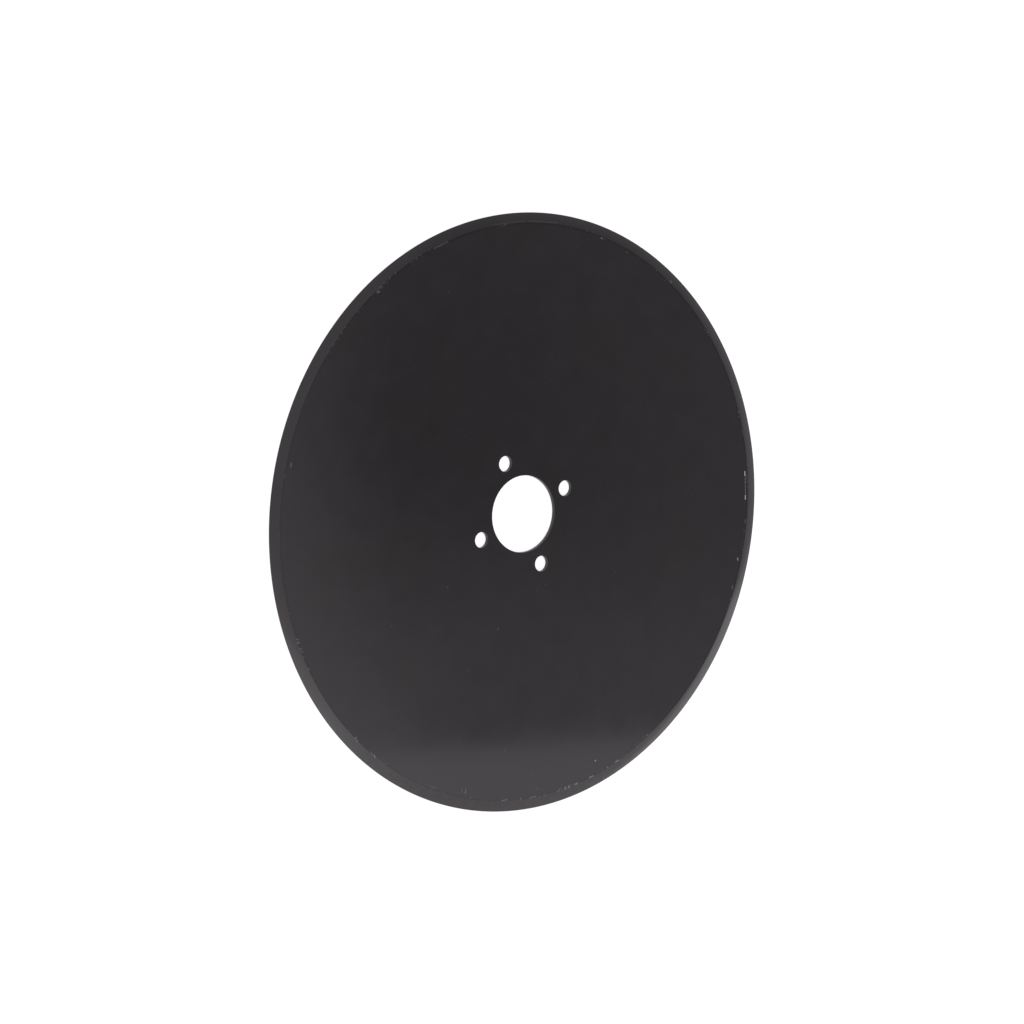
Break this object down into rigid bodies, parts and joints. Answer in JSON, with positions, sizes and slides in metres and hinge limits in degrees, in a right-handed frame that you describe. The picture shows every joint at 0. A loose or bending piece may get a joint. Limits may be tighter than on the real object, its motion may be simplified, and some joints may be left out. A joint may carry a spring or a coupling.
{
  "type": "harrow disc blade",
  "caption": "Flat round disc blade with a ground single bevel and blunt rim, a centre bore and bolt holes round it, in black paint.",
  "frame": {"origin": "where the axis of the centre bore meets the flat back face, which lies on z = 0", "axes": "+Z along the bore axis, from the flat back towards the bevelled front face; +X through the first bolt hole"},
  "size_m": [0.3999, 0.4, 0.003],
  "materials": {
    "black_paint": "satin"
  },
  "bodies": {
    "root": {"disc_blade": "black_paint"}
  },
  "joints": []
}
